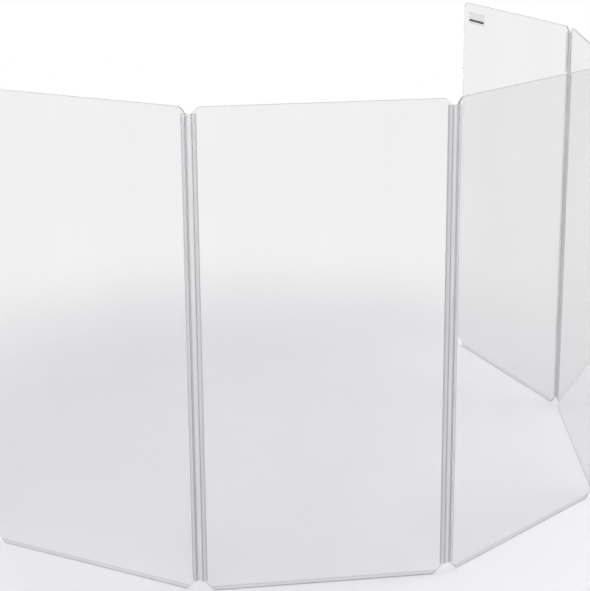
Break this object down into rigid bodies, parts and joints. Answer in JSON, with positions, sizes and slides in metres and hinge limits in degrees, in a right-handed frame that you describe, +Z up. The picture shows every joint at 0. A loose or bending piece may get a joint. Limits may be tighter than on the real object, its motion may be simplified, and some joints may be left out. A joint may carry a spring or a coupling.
{
  "type": "drum shield",
  "caption": "Free-standing folding screen of clear acrylic panels joined by full-length flexible hinges, standing in an arc round a drum kit.",
  "frame": {"origin": "middle of the footprint, on the floor, as the shield stands in its arc", "axes": "+Z up, X along the middle panel and the longest way, -Y towards the audience, +Y towards the drummer"},
  "size_m": [1.9758, 1.0352, 1.219],
  "materials": {
    "acrylic": "clear polished acrylic sheet, saw-cut and polished edges",
    "hinge_channel": "clear extruded stiff vinyl, faint draw lines",
    "hinge_web": "clear soft vinyl, slightly hazy",
    "label": "printed film, a plain dark bar on a pale ground"
  },
  "bodies": {
    "section_1": {"panel_1": "acrylic", "hinge_12_channel_1": "hinge_channel"},
    "web_12": {"hinge_12_web": "hinge_web"},
    "section_2": {"panel_2": "acrylic", "hinge_12_channel_2": "hinge_channel", "hinge_23_channel_2": "hinge_channel"},
    "web_23": {"hinge_23_web": "hinge_web"},
    "section_3": {"panel_3": "acrylic", "hinge_23_channel_3": "hinge_channel", "hinge_34_channel_3": "hinge_channel"},
    "web_34": {"hinge_34_web": "hinge_web"},
    "section_4": {"panel_4": "acrylic", "hinge_34_channel_4": "hinge_channel", "hinge_45_channel_4": "hinge_channel"},
    "web_45": {"hinge_45_web": "hinge_web"},
    "section_5": {"panel_5": "acrylic", "hinge_45_channel_5": "hinge_channel", "label": "label"}
  },
  "joints": [
    {"name": "section_2_fold", "type": "hinge", "parent": "section_3", "child": "section_2", "pos_m": [-0.26211, -0.51779, 0], "axis": [0, 0, 1], "range_deg": [0, 215.8]},
    {"name": "web_23_bend", "type": "hinge", "parent": "section_3", "child": "web_23", "pos_m": [-0.25627, -0.51354, 0], "axis": [0, 0, 1], "range_deg": [0, 107.9]},
    {"name": "section_1_fold", "type": "hinge", "parent": "section_2", "child": "section_1", "pos_m": [-0.7609, -0.14757, 0], "axis": [0, 0, -1], "range_deg": [0, 146.9]},
    {"name": "web_12_bend", "type": "hinge", "parent": "section_2", "child": "web_12", "pos_m": [-0.76081, -0.15287, 0], "axis": [0, 0, -1], "range_deg": [0, 73.45]},
    {"name": "section_4_fold", "type": "hinge", "parent": "section_3", "child": "section_4", "pos_m": [0.35864, -0.50929, 0], "axis": [0, 0, 1], "range_deg": [0, 133.7]},
    {"name": "web_34_bend", "type": "hinge", "parent": "section_3", "child": "web_34", "pos_m": [0.35583, -0.51354, 0], "axis": [0, 0, 1], "range_deg": [0, 66.85]},
    {"name": "section_5_fold", "type": "hinge", "parent": "section_4", "child": "section_5", "pos_m": [0.79327, -0.06677, 0], "axis": [0, 0, -1], "range_deg": [0, 205.1]},
    {"name": "web_45_bend", "type": "hinge", "parent": "section_4", "child": "web_45", "pos_m": [0.78653, -0.06767, 0], "axis": [0, 0, -1], "range_deg": [0, 102.55]}
  ],
  "couplings": [
    {"joint": "web_23_bend", "follows": "section_2_fold", "ratio": 0.5},
    {"joint": "web_12_bend", "follows": "section_1_fold", "ratio": 0.5},
    {"joint": "web_34_bend", "follows": "section_4_fold", "ratio": 0.5},
    {"joint": "section_5_fold", "follows": "section_4_fold", "ratio": 1.534},
    {"joint": "web_45_bend", "follows": "section_4_fold", "ratio": 0.767}
  ]
}
